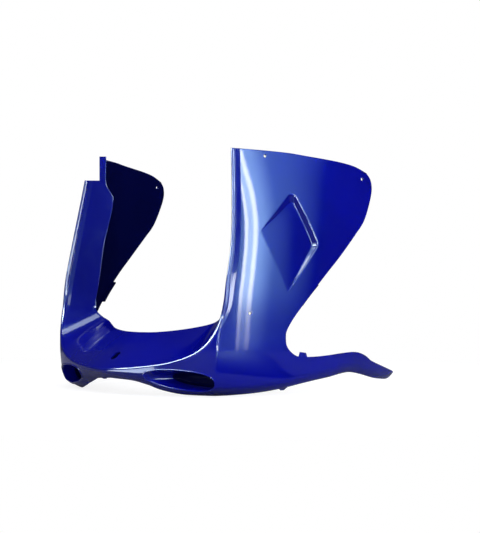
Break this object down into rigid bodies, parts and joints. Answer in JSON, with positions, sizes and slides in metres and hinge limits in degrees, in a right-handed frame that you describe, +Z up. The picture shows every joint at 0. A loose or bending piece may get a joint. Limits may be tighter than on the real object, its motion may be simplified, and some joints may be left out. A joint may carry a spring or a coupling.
{
  "type": "motorcycle fairing",
  "caption": "Leg shield fairing moulded as a single shell: tall swept wings with diamond recesses, a low cross-band and chin, an air scoop at each front corner, and slim tails.",
  "frame": {"origin": "centre of the bounding box in plan, at the lowest point", "axes": "+X to the vehicle's left, +Y rearward, +Z up"},
  "size_m": [0.6108, 0.5753, 0.4861],
  "materials": {
    "blue_paint": "gloss"
  },
  "bodies": {
    "root": {"leg_shield": "blue_paint"}
  },
  "joints": []
}
